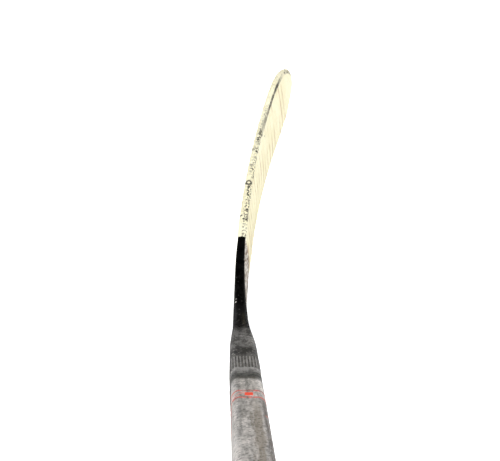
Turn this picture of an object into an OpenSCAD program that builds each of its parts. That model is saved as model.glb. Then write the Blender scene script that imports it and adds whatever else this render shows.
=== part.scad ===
// Ice hockey stick: hollow composite shaft, moulded blade with a foam core, and cloth tape.
// Frame: origin on the ice at the middle of the sole, +X to the toe, +Z up, forehand face to -Y.
// The shaft rises towards -X at the lie angle. All sizes are in millimetres.

/* [Shaft] */
// Length along the shaft, from the heel on the ice to the butt end
stick_len = 1524; // [1370:1:1600]
// Lie, the angle between the shaft and the ice, in degrees
lie = 45; // [43:0.5:47]
// Shaft width, from its front face to its back face
shaft_w = 30; // [28:0.5:31]
// Shaft thickness, between the two wide faces
shaft_t = 20; // [18:0.5:22]
// Radius of the shaft's corners
shaft_r = 5; // [4:0.25:6]
// Wall of the hollow shaft
shaft_wall = 1.9; // [1.4:0.1:2.4]

/* [Joint] */
// Distance from the heel up to the neck's shoulder
shoulder_at = 252; // [235:1:280]
// Length of black filler between the shoulder and the shaft tube
filler_len = 8; // [2:0.5:10]
// Length of the tenon that enters the shaft tube
tenon_len = 62; // [45:1:80]
// Thickness of the glue film round the tenon
glue = 0.4; // [0.2:0.05:0.6]
// Laminate wall of the neck and tenon
neck_wall = 2.2; // [1.6:0.1:3]

/* [Blade] */
// Length from the heel corner to the toe tip
blade_len = 320; // [300:1:320]
// Height of the blade near the heel, at the neck fillet
heel_h = 54.8; // [50:0.1:60]
// Height of the blade at the start of the toe
toe_h = 68.8; // [64:0.1:76]
// Radius of the curve of the faces, seen from above
curve_r = 997; // [700:1:1400]
// How far the face leans open at the heel, per millimetre of height
heel_lean = 0.09; // [0:0.01:0.15]
// How far the face leans open at the toe, per millimetre of height
toe_lean = 0.19; // [0:0.01:0.25]
// Radius of the fillet between the blade's top edge and the shaft's front
neck_r = 110; // [90:1:120]
// Radius of the heel
heel_r = 55; // [40:1:70]
// Laminate thickness of each face skin
skin_t = 0.9; // [0.6:0.1:1.2]
// Height of the hard edges inside the skins
edge_h = 3.5; // [2.5:0.5:5]
// Height of the carbon rib between the foam cores
carbon_rib_h = 1.6; // [1:0.1:3]

/* [Tape] */
// Thickness of the cloth tape on the blade, two layers together
tape_t = 0.7; // [0.5:0.05:0.9]
// Place of the tape's first edge, from the middle of the sole towards the heel
tape_from = 91; // [88:1:100]
// Length of the grip tape below the butt end
grip_len = 165; // [120:1:220]
// Width of the roll of tape that makes the knob
knob_w = 20; // [12:1:26]
// Height of the knob above the shaft
knob_h = 4.5; // [3:0.5:7]

/* [Graphics] */
// Distance from the heel up to the middle of the pinstripes
stripe_at = 299; // [280:1:330]
// Distance from the heel up to the start of the tick band
tick_at = 207; // [190:1:215]
// Length of each tick mark
tick_len = 30; // [15:1:30]

/* [Hidden] */
$fn = 64;
eps = 0.01;

// Driving places, seen from the side: [x, z]
heel_corner_x = -161;                              // where the shaft's back edge would meet the ice
tip_x = heel_corner_x + blade_len;
axis_x = heel_corner_x + shaft_w / 2 / sin(lie);   // where the shaft's centre line meets the ice
up = [-cos(lie), sin(lie)];                        // up the shaft
front = [sin(lie), cos(lie)];                      // towards the shaft's front face
sole_up = tape_t;                                  // height of the bare sole above the ice
heel_top_x = -130;                                 // where heel_h is measured
toe_top_x = 95;                                    // where the top edge starts to round over
toe_sole_x = 80;                                   // where the sole starts to round up
toe_mid_z = 34;                                    // height of the toe's foremost point
toe_top_power = 2.3;
toe_sole_power = 2.1;
split_x = -86;                                     // where the neck shell gives way to the two skins
toe_block_x = 128;
wrap_to = tip_x - 26;                              // where the tape round the blade ends
curve_from_x = -176;
lean_from_x = -180;
lean_full_x = -100;
lean_mid_z = 30;
tape_gap = 0.02;
neck_steps = 12;
straight_steps = 10;
blade_steps = 22;
toe_steps = 12;

function clamp01(x) = min(1, max(0, x));
function smooth(x) = let (c = clamp01(x)) c * c * (3 - 2 * c);
function mix(a, b, f) = a + (b - a) * f;
function spread(from, to, n) = [for (k = [0:n]) mix(from, to, k / n)];
function eased(from, to, n) = [for (k = [0:n]) mix(from, to, sin(90 * k / n))];
function backwards(list) = [for (i = [len(list) - 1:-1:0]) list[i]];
function flat(lists) = [for (l = lists) each l];

// The neck fillet touches the blade's top edge and the shaft's front face
top_slope = (toe_h - heel_h) / (toe_top_x - heel_top_x);
top_tilt = atan(top_slope);
top_dir = [cos(top_tilt), sin(top_tilt)];
front_start = [axis_x, 0] + front * shaft_w / 2;
front_rise = (heel_h + top_slope * (front_start.x - heel_top_x) - front_start.y) / (up.y - top_slope * up.x);
fillet_c = front_start + up * front_rise
    + (top_dir + up) / norm(top_dir + up) * neck_r / sin(acos(top_dir * up) / 2);
fillet_from_x = fillet_c.x + neck_r * sin(top_tilt);
straight_at = (fillet_c - [axis_x, 0]) * up;       // where the fillet ends, measured up the shaft

// The heel arc touches the sole and the shaft's back face
back_start = [axis_x, 0] - front * shaft_w / 2;
heel_rise = heel_r + sole_up;
heel_c = [back_start.x + (heel_r - (heel_rise - back_start.y) * front.y) / front.x, heel_rise];

// Side profile of the blade, grown by g all round
function toe_share(x, from, g) = clamp01((x - from) / (tip_x + g - from));
function round_off(f, p) = pow(max(0, 1 - pow(f, p)), 1 / p);
function top_line(x) = x < fillet_from_x
    ? fillet_c.y - sqrt(neck_r * neck_r - pow(x - fillet_c.x, 2))
    : heel_h + top_slope * (x - heel_top_x);
function top_z(x, g) = toe_mid_z
    + (top_line(min(x, toe_top_x)) + g - toe_mid_z) * round_off(toe_share(x, toe_top_x, g), toe_top_power);
function sole_z(x, g) = toe_mid_z
    - (toe_mid_z - sole_up + g) * round_off(toe_share(x, toe_sole_x, g), toe_sole_power);

// Distance from the fillet's centre to the sole, heel arc or back face, at angle a from straight down
function heel_hit(a) = let (b = [-sin(a), -cos(a)] * (fillet_c - heel_c), o = fillet_c - heel_c)
    -b + sqrt(max(0, b * b - o * o + heel_r * heel_r));
function angle_to(p) = atan((fillet_c.x - p.x) / (fillet_c.y - p.y));
heel_a0 = angle_to([heel_c.x, sole_up]);
heel_a1 = angle_to(heel_c - front * heel_r);
function back_reach(a) = a < heel_a0 ? (fillet_c.y - sole_up) / cos(a)
    : a > heel_a1 ? (neck_r + shaft_w) / cos(90 - lie - a) : heel_hit(a);

// The faces' middle surface, shifted sideways by the curve and by the open face
function lean_at(x) = mix(heel_lean, toe_lean, pow(clamp01((x - lean_full_x) / (tip_x - lean_full_x)), 1.5))
    * smooth((x - lean_from_x) / (lean_full_x - lean_from_x));
function bow(x) = let (run = max(0, x - curve_from_x)) curve_r - sqrt(curve_r * curve_r - run * run);
shaft_y = bow(0) + lean_at(0) * lean_mid_z;        // puts the middle of the sole at the origin
function middle_y(p) = shaft_y - bow(p.x) + lean_at(p.x) * (p.y - lean_mid_z);

// A rib is a section of the stick, grown by g:
// [back or lowest point, front or highest point, thickness at back, middle and front, corner radius]
heel_sizes = [6.2, 9.2, 6.4, 1.8];                 // thicknesses and corner radius at the neck end
mid_sizes = [5, 7.2, 4.8, 1.4];                    // at the middle of the blade
toe_sizes = [3.4, 4, 3, 1.2];                      // at the toe
shaft_sizes = [shaft_t, shaft_t, shaft_t, shaft_r];
min_corner = 0.3;
function rib(back, fore, sizes, g) = [back, fore, sizes[0] + 2 * g, sizes[1] + 2 * g, sizes[2] + 2 * g,
    max(min_corner, sizes[3] + g)];
function tip_loss(x, g) = let (r = toe_sizes[3] + g, e = clamp01((tip_x + g - x) / r))
    2 * r * (1 - sqrt(1 - pow(1 - e, 2)));
function blade_sizes(x) = mix(mid_sizes, x < 0 ? heel_sizes : toe_sizes, x / (x < 0 ? split_x : tip_x));
function blade_rib(x, g) = let (loss = tip_loss(x, g))
    rib([x, sole_z(x, g)], [x, top_z(x, g)], blade_sizes(x) - [loss, loss, loss, 0], g);

// Up the neck, the ribs fan round the fillet's centre and swell to the shaft's size
full_at = 184;                                     // where the neck is as thick as the shaft
neck_swell = [[0, 0], [0.1, 0.08], [0.3, 0.19], [0.54, 0.38], [0.77, 0.75], [0.9, 0.94], [1, 1]];
lead_run = split_x - fillet_from_x;
arc_run = neck_r * (90 - lie - top_tilt) * PI / 180;
full_run = lead_run + arc_run + full_at - straight_at;
function neck_rib(back, fore, run, g) =
    rib(back, fore, mix(heel_sizes, shaft_sizes, lookup(run / full_run, neck_swell)), g);
function lead_rib(x, g) = neck_rib([x, sole_z(x, g)], [x, top_z(x, g)], split_x - x, g);
function fan_rib(a, g) = let (d = [-sin(a), -cos(a)])
    neck_rib(fillet_c + d * (back_reach(a) + g), fillet_c + d * (neck_r - g),
             lead_run + neck_r * (a + top_tilt) * PI / 180, g);
function straight_rib(d, g) = let (c = [axis_x, 0] + up * d, w = shaft_w / 2 + g)
    neck_rib(c - front * w, c + front * w, lead_run + arc_run + d - straight_at, g);
function neck_ribs(g, top_at) = concat(
    [for (x = spread(split_x, fillet_from_x, 2)) lead_rib(x, g)],
    [for (k = [1:3]) let (x = mix(fillet_from_x, fillet_c.x, k / 3)) lead_rib(x, g)],
    [for (k = [1:neck_steps]) fan_rib((90 - lie) * k / neck_steps, g)],
    [for (k = [1:straight_steps]) straight_rib(mix(straight_at, top_at, k / straight_steps), g)]);
function tenon_ribs(g, from) = [for (d = [from, shoulder_at + tenon_len]) straight_rib(d, g)];

// The hollow narrows below the shoulder, so the wall carries on into the tenon
tenon_g = -shaft_wall - glue;
hollow_to = shoulder_at - 16;
tenon_hollow_from = shoulder_at - 6;
outer_ribs = concat(neck_ribs(0, shoulder_at), tenon_ribs(tenon_g, shoulder_at));
inner_ribs = concat(neck_ribs(-neck_wall, hollow_to), tenon_ribs(tenon_g - neck_wall, tenon_hollow_from));

// Outline of a rib: half its thickness at height v above its back, out of height h
function half_t(rib, h, v) = let (u = 2 * v / h - 1, r = rib[5], e = min(v, h - v),
        t = mix(rib[3], u > 0 ? rib[4] : rib[2], pow(abs(u), 1.6)) / 2)
    t - (e < r ? r - sqrt(max(0, r * r - pow(r - e, 2))) : 0);
function height_of(rib) = norm(rib[1] - rib[0]);
function rib_point(rib, v, side) = let (h = height_of(rib), p = mix(rib[0], rib[1], v / h))
    [p.x, middle_y(p) + side * half_t(rib, h, v), p.y];
function heights(rib) = let (h = height_of(rib), r = min(rib[5], h / 2.2))
    concat([for (a = [0:22.5:90]) r * (1 - cos(a))],
           [for (k = [1:4]) mix(r, h - r, k / 5)],
           [for (a = [90:-22.5:0]) h - r * (1 - cos(a))]);
function side_line(rib, side) = [for (v = heights(rib)) rib_point(rib, v, side)];
function whole_loop(rib) = concat(side_line(rib, 1), backwards(side_line(rib, -1)));
function mid_point(rib, v) = rib_point(rib, v, 0);
function blade_loop(x, g) = backwards(whole_loop(blade_rib(x, g)));

// Part of a rib between two of its heights
function band_loop(rib, low, high) = let (vs = spread(low, high, 5))
    concat([for (v = vs) rib_point(rib, v, -1)], [for (v = backwards(vs)) rib_point(rib, v, 1)]);

// A face skin's section runs round one side of the blade, from its sole to its top edge and back inside
function skin_loop(x, side) =
    let (outer = blade_rib(x, 0), inner = blade_rib(min(x, tip_x - skin_t - 0.1), -skin_t))
    concat([mid_point(outer, 0)], side_line(outer, side), [mid_point(outer, height_of(outer))],
           [mid_point(inner, height_of(inner))], backwards(side_line(inner, side)), [mid_point(inner, 0)]);

// Closed solids from loops that all have the same number of points
function wall_faces(rings, n, base = 0) = [for (k = [0:rings - 2], i = [0:n - 1])
    let (a = base + k * n + i, b = base + k * n + (i + 1) % n) each [[a, b, b + n], [a, b + n, a + n]]];
function turned(faces) = [for (f = faces) [f[0], f[2], f[1]]];
function cap(n, base) = [for (i = [0:n - 1]) base + i];
module loft(loops) {
    n = len(loops[0]);
    last = (len(loops) - 1) * n;
    polyhedron(flat(loops), concat(wall_faces(len(loops), n), [backwards(cap(n, 0)), cap(n, last)]));
}

// A cap of material: open at its first loop and closed at its last
module pocket(outer, inner) {
    n = len(outer[0]);
    rings = len(outer);
    base = rings * n;
    rim = [for (i = [0:n - 1]) let (j = (i + 1) % n) each [[i, base + j, j], [i, base + i, base + j]]];
    polyhedron(flat(concat(outer, inner)),
        concat(wall_faces(rings, n), [cap(n, base - n)],
               turned(wall_faces(rings, n, base)), [backwards(cap(n, 2 * base - n))], rim));
}

// A tube open at both ends
module sleeve(outer, inner) {
    n = len(outer[0]);
    loops = concat(outer, backwards(inner));
    count = len(loops) * n;
    polyhedron(flat(loops), [for (f = wall_faces(len(loops) + 1, n)) [for (i = f) i % count]]);
}

// The shaft's section, grown by g, and places along the shaft
module section(g) {
    r = shaft_r + g;
    square([shaft_w + 2 * g - 2 * r, shaft_t + 2 * g], center = true);
    square([shaft_w + 2 * g, shaft_t + 2 * g - 2 * r], center = true);
    for (x = [-1, 1], y = [-1, 1])
        translate([x * (shaft_w / 2 + g - r), y * (shaft_t / 2 + g - r)]) circle(r);
}
module ring(inner, outer, length) {
    linear_extrude(length) difference() {
        section(outer);
        section(inner);
    }
}
module up_shaft(d) {
    translate([axis_x, shaft_y, 0]) rotate([0, lie - 90, 0]) translate([0, 0, d]) children();
}

// Hollow composite tube, from the filler at the neck joint to the end plug's flange
flange_t = 3;
tube_from = shoulder_at + filler_len;
tube_to = stick_len - flange_t;
module shaft_tube() {
    color("darkgray") up_shaft(tube_from) ring(-shaft_wall, 0, tube_to - tube_from);
}

// Moulded end plug: a flange flush with the shaft, a hollow stem, and ribs that grip the bore
plug_len = 42;
plug_wall = 1.8;
plug_gap = 0.35;
grip_rib_w = 1;
grip_rib_pitch = 5;
module butt_plug() {
    stem = -shaft_wall - plug_gap;
    color("dimgray") up_shaft(tube_to) {
        linear_extrude(flange_t) section(0);
        translate([0, 0, -plug_len]) ring(stem - plug_wall, stem, plug_len);
        for (side = [0, 1], k = [-1:1])
            mirror([0, side, 0])
                translate([k * grip_rib_pitch - grip_rib_w / 2, shaft_t / 2 + stem - plug_gap, 3 - plug_len])
                    cube([grip_rib_w, 2 * plug_gap - eps, plug_len - 5]);
    }
}

// Roll of tape that makes the knob, and the cloth wrap that covers it and the grip
module knob_core() {
    color("white") up_shaft(tube_to - knob_w) ring(0, knob_h, knob_w);
}
grip_from = tube_to - grip_len;
module grip_wrap() {
    color("black") up_shaft(grip_from) {
        ring(0, tape_t, grip_len - knob_w);
        translate([0, 0, grip_len - knob_w - tape_t]) ring(0, knob_h + tape_t, tape_t);
        translate([0, 0, grip_len - knob_w]) ring(knob_h, knob_h + tape_t, knob_w);
    }
}
end_band_t = 0.2;
end_band_w = 14;
module grip_end_band() {
    color("gray") up_shaft(grip_from) ring(tape_t, tape_t + end_band_t, end_band_w);
}

// Printed film: two pinstripes round the shaft, and a short bar on its front face
film = 0.12;
stripe_w = 2.6;
stripe_gap = 13.4;
bar = [4.8, 5.6];
module pinstripe_rings() {
    color("red") up_shaft(stripe_at) {
        for (side = [-1, 1]) translate([0, 0, side * stripe_gap / 2 - stripe_w / 2]) ring(0, film, stripe_w);
        translate([shaft_w / 2, -bar.x / 2, -bar.y / 2]) cube([film, bar.x, bar.y]);
    }
}

// Black filler over the tenon, a little below the shaft's surface, and the glue film above it
filler_sink = 0.15;
module joint_filler() {
    color("black") up_shaft(shoulder_at) ring(tenon_g, -filler_sink, filler_len);
}
module tenon_glue() {
    color("khaki") up_shaft(tube_from) ring(tenon_g, -shaft_wall, tenon_len - filler_len);
}

// Neck of the blade: a laminate shell from under the tape to the shoulder, with a tenon above it
module neck_shell() {
    color("black") sleeve([for (r = outer_ribs) whole_loop(r)], [for (r = inner_ribs) whole_loop(r)]);
}
module neck_foam_core() {
    color("ivory") loft([for (r = inner_ribs) whole_loop(r)]);
}

// Printed ticks round the neck, laid out from the middle of each narrow face
tick_pitch = 2.15;
tick_w = 1.1;
flat_w = shaft_w - 2 * shaft_r;
flat_t = shaft_t - 2 * shaft_r;
bend = shaft_r * PI / 2;
// Place and outward angle on a quarter of the outline, at run s from the middle of the narrow face
function quarter(s) = s < flat_t / 2 ? [shaft_w / 2, s, 0]
    : s < flat_t / 2 + bend
    ? let (a = (s - flat_t / 2) / bend * 90) [flat_w / 2 + shaft_r * cos(a), flat_t / 2 + shaft_r * sin(a), a]
    : [flat_w / 2 - (s - flat_t / 2 - bend), shaft_t / 2, 90];
module tick_marks() {
    steps = floor(((flat_w + flat_t) / 2 + bend) / tick_pitch);
    color("black") up_shaft(tick_at)
        for (k = [0:steps], my = [0, 1], mx = [0, 1]) if (k > 0 || my == 0)
            mirror([mx, 0, 0]) mirror([0, my, 0]) let (q = quarter(k * tick_pitch))
                translate([q.x, q.y, 0]) rotate(q.z) translate([-film, -tick_w / 2, 0])
                    cube([2 * film, tick_w, tick_len]);
}

// Moulded blade: two face skins that meet along the edges
module face_skin(side) {
    to_toe = [for (x = spread(split_x, toe_top_x, blade_steps)) skin_loop(x, side)];
    round_toe = [for (x = eased(toe_top_x, tip_x - 0.05, toe_steps)) if (x > toe_top_x) skin_loop(x, side)];
    loops = concat(to_toe, round_toe);
    loft(side < 0 ? loops : [for (l = loops) backwards(l)]);
}
module forehand_skin() {
    color("black") face_skin(-1);
}
module backhand_skin() {
    color("black") face_skin(1);
}

// Pieces inside the skins: each fills a band of the blade's height, given as shares and lengths
function inner_h(x) = top_z(x, -skin_t) - sole_z(x, -skin_t);
module band(low_share, low, high_share, high) {
    loops = [for (x = spread(split_x, toe_block_x, 18)) let (h = inner_h(x))
        band_loop(blade_rib(x, -skin_t), low_share * h + low, high_share * h + high)];
    loft(loops);
}
module sole_edge_strip() {
    color("gray") band(0, 0, 0, edge_h);
}
module core_lower() {
    color("ivory") band(0, edge_h, 0.5, -carbon_rib_h / 2);
}
module carbon_rib() {
    color("black") band(0.5, -carbon_rib_h / 2, 0.5, carbon_rib_h / 2);
}
module core_upper() {
    color("ivory") band(0.5, carbon_rib_h / 2, 1, -edge_h);
}
module top_edge_strip() {
    color("gray") band(1, -edge_h, 1, 0);
}
module toe_block() {
    xs = eased(toe_block_x, tip_x - skin_t - 0.05, toe_steps);
    color("gray") loft([for (x = xs) blade_loop(x, -skin_t)]);
}

// Cloth tape: the wrap from the heel to the toe, and a strip folded over the toe's end
module blade_tape() {
    xs = spread(-tape_from, wrap_to, 34);
    color("cornsilk") sleeve([for (x = xs) blade_loop(x, tape_t)], [for (x = xs) blade_loop(x, tape_gap)]);
}
module toe_tape() {
    outer = eased(wrap_to, tip_x + tape_t - 0.05, toe_steps);
    inner = eased(wrap_to, tip_x - 0.03, toe_steps);
    color("cornsilk")
        pocket([for (x = outer) blade_loop(x, tape_t)], [for (x = inner) blade_loop(x, tape_gap)]);
}

shaft_tube();
butt_plug();
knob_core();
grip_wrap();
grip_end_band();
pinstripe_rings();
joint_filler();
tenon_glue();
neck_shell();
neck_foam_core();
tick_marks();
forehand_skin();
backhand_skin();
core_upper();
core_lower();
carbon_rib();
top_edge_strip();
sole_edge_strip();
toe_block();
blade_tape();
toe_tape();
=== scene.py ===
import functools
import math

import bmesh
import bpy
from mathutils import Matrix, Vector, noise


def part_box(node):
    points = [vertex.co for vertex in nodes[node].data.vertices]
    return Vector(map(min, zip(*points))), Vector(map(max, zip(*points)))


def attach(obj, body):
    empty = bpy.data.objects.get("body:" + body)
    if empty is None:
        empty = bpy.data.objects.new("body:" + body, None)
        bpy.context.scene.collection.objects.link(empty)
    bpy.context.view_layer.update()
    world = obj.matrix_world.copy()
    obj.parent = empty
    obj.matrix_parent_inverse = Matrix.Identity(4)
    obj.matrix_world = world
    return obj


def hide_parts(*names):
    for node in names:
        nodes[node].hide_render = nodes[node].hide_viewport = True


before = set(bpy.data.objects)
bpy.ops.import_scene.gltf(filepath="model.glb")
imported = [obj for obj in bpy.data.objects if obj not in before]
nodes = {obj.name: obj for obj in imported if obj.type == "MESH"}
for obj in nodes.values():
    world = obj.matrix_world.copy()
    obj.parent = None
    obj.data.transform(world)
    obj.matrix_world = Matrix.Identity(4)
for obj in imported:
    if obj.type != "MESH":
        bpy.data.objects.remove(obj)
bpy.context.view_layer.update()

# The studio: white paper on the floor under three softboxes, in a pale room that is dim overhead. Gloss
# sees a dark strip of floor under the stick, so that black lacquer stays black. The camera looks down
# the shaft to the blade.
camera_place = Vector((-0.5854, 0.0362, 0.6667))
camera_heading = math.radians(-2.975)
camera_dip = math.radians(50.386)
camera_roll = math.radians(3.065)
camera_lens = 62.02
scene = bpy.context.scene
camera = bpy.data.objects.new("camera", bpy.data.cameras.new("camera"))
camera.data.lens = camera_lens
camera.data.sensor_width = 36
camera.data.clip_start = 0.01
gaze = Vector((math.cos(camera_dip) * math.cos(camera_heading),
               math.cos(camera_dip) * math.sin(camera_heading), -math.sin(camera_dip)))
camera.matrix_world = (Matrix.Translation(camera_place) @ gaze.to_track_quat("-Z", "Y").to_matrix().to_4x4()
                       @ Matrix.Rotation(camera_roll, 4, "Z"))
scene.collection.objects.link(camera)
scene.camera = camera
scene.view_settings.view_transform = "Standard"

subject = Vector((-0.35, 0.0, 0.25))
softboxes = {"left_softbox": ((-0.9, 3.0, 2.4), 2.4, 84), "right_softbox": ((-0.4, -3.0, 2.0), 2.4, 92),
             "top_softbox": ((-1.6, 0.3, 4.0), 2.8, 134)}
for name, (place, size, watts) in softboxes.items():
    lamp = bpy.data.objects.new(name, bpy.data.lights.new(name, "AREA"))
    lamp.data.size = size
    lamp.data.energy = watts
    lamp.location = place
    lamp.rotation_mode = "QUATERNION"
    lamp.rotation_quaternion = (subject - Vector(place)).to_track_quat("-Z", "Y")
    scene.collection.objects.link(lamp)


def put(tree, kind, inputs=None, **settings):
    """A shader node with its settings, and its inputs linked or filled in."""
    made = tree.nodes.new("ShaderNode" + kind)
    for name, value in settings.items():
        setattr(made, name, value)
    for name, value in (inputs or {}).items():
        if isinstance(value, bpy.types.NodeSocket):
            tree.links.new(value, made.inputs[name])
        else:
            made.inputs[name].default_value = value
    return made


def maths(tree, operation, *values):
    return put(tree, "Math", dict(enumerate(values)), operation=operation).outputs[0]


def times(tree, *values):
    """All the values multiplied together."""
    return functools.reduce(lambda product, value: maths(tree, "MULTIPLY", product, value), values)


def scaled(tree, value, by, plus):
    """The value times one number or value, plus another."""
    return maths(tree, "MULTIPLY_ADD", value, by, plus)


def apart(tree, value, centre):
    """How far a value is from a centre."""
    return maths(tree, "ABSOLUTE", maths(tree, "SUBTRACT", value, centre))


def cloud(tree, vector, scale, detail=2.0):
    """Soft noise from 0 to 1, most of it near 0.5."""
    return put(tree, "TexNoise", {"Vector": vector, "Scale": scale, "Detail": detail}).outputs[0]


def parts(tree, vector):
    """A vector's X, Y and Z."""
    return put(tree, "SeparateXYZ", {0: vector}).outputs


def ramp(tree, value, low, high, to_low=0.0, to_high=1.0):
    """Value run smoothly from to_low at low to to_high at high."""
    return put(tree, "MapRange", {"Value": value, "From Min": low, "From Max": high, "To Min": to_low,
                                  "To Max": to_high}, interpolation_type="SMOOTHSTEP").outputs[0]


def tint(tree, share, under, over):
    """One colour over another, by share."""
    return put(tree, "Mix", {0: share, 6: under, 7: over}, data_type="RGBA").outputs[2]


def paint(red, green, blue):
    return (red, green, blue, 1.0)


def new_finish(name, **constants):
    """A material, its node tree and its shader, with constants set on the shader's own sockets."""
    made = bpy.data.materials.new(name)
    made.use_nodes = True
    shader = made.node_tree.nodes["Principled BSDF"]
    for socket, value in constants.items():
        shader.inputs[socket.replace("_", " ")].default_value = value
    return made, made.node_tree, shader


def wire(tree, shader, **sockets):
    for socket, source in sockets.items():
        tree.links.new(source, shader.inputs[socket.replace("_", " ")])


room = bpy.data.worlds.new("pale_room")
room.use_nodes = True
scene.world = room
sky = room.node_tree
height = parts(sky, put(sky, "TexCoord").outputs["Generated"])["Z"]
walls = tint(sky, ramp(sky, height, 0.02, 0.3), paint(0.75, 0.75, 0.75), paint(0.04, 0.04, 0.042))
seen = tint(sky, put(sky, "LightPath").outputs["Is Camera Ray"], walls, paint(1.0, 1.0, 1.0))
sky.links.new(seen, sky.nodes["Background"].inputs["Color"])

floor_radius = 40.0
dark_strip = (0.04, 0.09)       # half widths of the strip and of its soft edge
strip_y = 0.015
paper, tree, shader = new_finish("white_paper", Roughness=0.95, Specular_IOR_Level=0.1,
                                 Emission_Strength=0.55)
across, rays = put(tree, "TexCoord").outputs["Object"], put(tree, "LightPath").outputs
sheet = tint(tree, cloud(tree, across, 3.0), paint(0.93, 0.93, 0.93), paint(0.95, 0.95, 0.95))
beside = apart(tree, parts(tree, across)["Y"], strip_y)
flag = times(tree, ramp(tree, beside, *dark_strip, 1.0, 0.0), rays["Is Glossy Ray"])
wire(tree, shader, Base_Color=tint(tree, flag, sheet, paint(0.1, 0.1, 0.1)),
     Emission_Color=tint(tree, rays["Is Camera Ray"], paint(0.0, 0.0, 0.0), paint(1.0, 1.0, 1.0)))
work = bmesh.new()
bmesh.ops.create_circle(work, cap_ends=True, segments=96, radius=floor_radius)
floor_mesh = bpy.data.meshes.new("paper_floor")
work.to_mesh(floor_mesh)
work.free()
floor = bpy.data.objects.new("paper_floor", floor_mesh)
floor.data.materials.append(paper)
scene.collection.objects.link(floor)

# The blade's inside: two strips of rigid polyurethane foam with a carbon rib between them, hard resin
# along both edges and in the toe. They are laid up dry and sealed in as the skins cure.


def object_place(tree):
    return put(tree, "TexCoord").outputs["Object"]


def dress(finish, *names):
    """A CAD node's own material slot takes this finish."""
    for name in names:
        nodes[name].data.materials[0] = finish


def height_to_normal(tree, height, strength, distance):
    return put(tree, "Bump", {"Height": height, "Strength": strength, "Distance": distance}).outputs[0]


foam, tree, shader = new_finish("foam", Roughness=0.85)
cells = put(tree, "TexVoronoi", {"Vector": object_place(tree), "Scale": 900.0}).outputs["Distance"]
wire(tree, shader, Base_Color=tint(tree, cells, paint(0.8, 0.76, 0.6), paint(0.9, 0.87, 0.74)),
     Normal=height_to_normal(tree, cells, 0.5, 0.0004))
dress(foam, "core_upper", "core_lower", "neck_foam_core")

resin, tree, shader = new_finish("edge_resin", Roughness=0.5)
fill = cloud(tree, object_place(tree), 700.0, 5.0)
wire(tree, shader, Base_Color=tint(tree, fill, paint(0.07, 0.07, 0.065), paint(0.17, 0.17, 0.16)),
     Normal=height_to_normal(tree, fill, 0.2, 0.0003))
dress(resin, "top_edge_strip", "sole_edge_strip", "toe_block")


# The two face skins and the rib are woven carbon set in epoxy, moulded together under heat.
# Their twill is 2 mm wide, and the resin over it is slightly glossy.
tow_width = 0.002


def new_group(name, inputs, outputs):
    """A shader node group with its ends; sockets are given as name: (type, value)."""
    group = bpy.data.node_groups.new(name, "ShaderNodeTree")
    for in_out, sockets in (("INPUT", inputs), ("OUTPUT", outputs)):
        for socket, (kind, value) in sockets.items():
            made = group.interface.new_socket(socket, in_out=in_out, socket_type="NodeSocket" + kind)
            if value is not None:
                made.default_value = value
    return group, group.nodes.new("NodeGroupInput").outputs, group.nodes.new("NodeGroupOutput").inputs


def use(tree, group, **inputs):
    """The group placed in a material; its outputs by name."""
    made = tree.nodes.new("ShaderNodeGroup")
    made.node_tree = group
    for name, value in inputs.items():
        socket = made.inputs[name]
        if isinstance(value, bpy.types.NodeSocket):
            tree.links.new(value, socket)
        else:
            socket.default_value = value
    return made.outputs


def waves(tree, value, pitch):
    """0 to 1 and back, once every pitch."""
    turned = maths(tree, "SINE", times(tree, value, 2 * math.pi / pitch))
    return scaled(tree, turned, 0.5, 0.5)


carbon, tree, shader = new_finish("carbon_twill", Roughness=0.35, Coat_Weight=0.3)
x, _, z = parts(tree, object_place(tree))
over_under = times(tree, waves(tree, maths(tree, "ADD", x, z), 4 * tow_width),
                   waves(tree, maths(tree, "SUBTRACT", x, z), tow_width))
wire(tree, shader, Base_Color=tint(tree, over_under, paint(0.012, 0.012, 0.013), paint(0.06, 0.06, 0.065)),
     Normal=height_to_normal(tree, over_under, 0.3, 0.0003))
dress(carbon, "forehand_skin", "backhand_skin", "carbon_rib")

# The neck: a moulded laminate shell, lens-shaped at the blade and boxy at the shaft, that ends in a
# shoulder and a thinner tenon. It is lacquered black, worn grey towards the shoulder, where a band of
# printed ticks runs round it. On the forehand side next to the blade a pale reflection is painted on,
# in streaks with brown dirt.
lie = math.radians(45)
up = Vector((-math.cos(lie), math.sin(lie)))
front = Vector((math.sin(lie), math.cos(lie)))
shaft_w = 0.03
shaft_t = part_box("shaft_tube")[1].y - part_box("shaft_tube")[0].y
shaft_y = (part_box("shaft_tube")[1].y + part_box("shaft_tube")[0].y) / 2
shaft_r = 0.005
heel_corner_x = -0.161
axis = Vector((heel_corner_x + shaft_w / 2 / math.sin(lie), 0.0))   # where its centre line meets the ice
split_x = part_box("neck_shell")[1].x
tip_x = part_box("forehand_skin")[1].x + 0.00005
sole_up = 0.0007


def shaft_span(name, half):
    """Where a ring of this half width starts and ends, measured up the shaft from the ice."""
    low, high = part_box(name)
    return low.z / up.y + half, high.z / up.y - half


filler_sink = 0.00015
shoulder_at, tube_from = shaft_span("joint_filler", shaft_w / 2 - filler_sink)
tenon_len = 0.062
tenon_sink = 0.0023
neck_wall = 0.0022
neck_r = 0.11
heel_r = 0.055
heel_h = 0.0548
toe_h = 0.0688
heel_top_x = -0.13
toe_top_x = 0.095
toe_sole_x = 0.08
toe_mid_z = 0.034
curve_r = 0.997
curve_from_x = -0.176
lean_from_x = -0.18
lean_full_x = -0.1
lean_mid_z = 0.03
heel_lean = 0.09
toe_lean = 0.19
top_roundness = 2.3
sole_roundness = 2.1
full_at = 0.184                 # where the neck reaches the shaft's section
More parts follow.
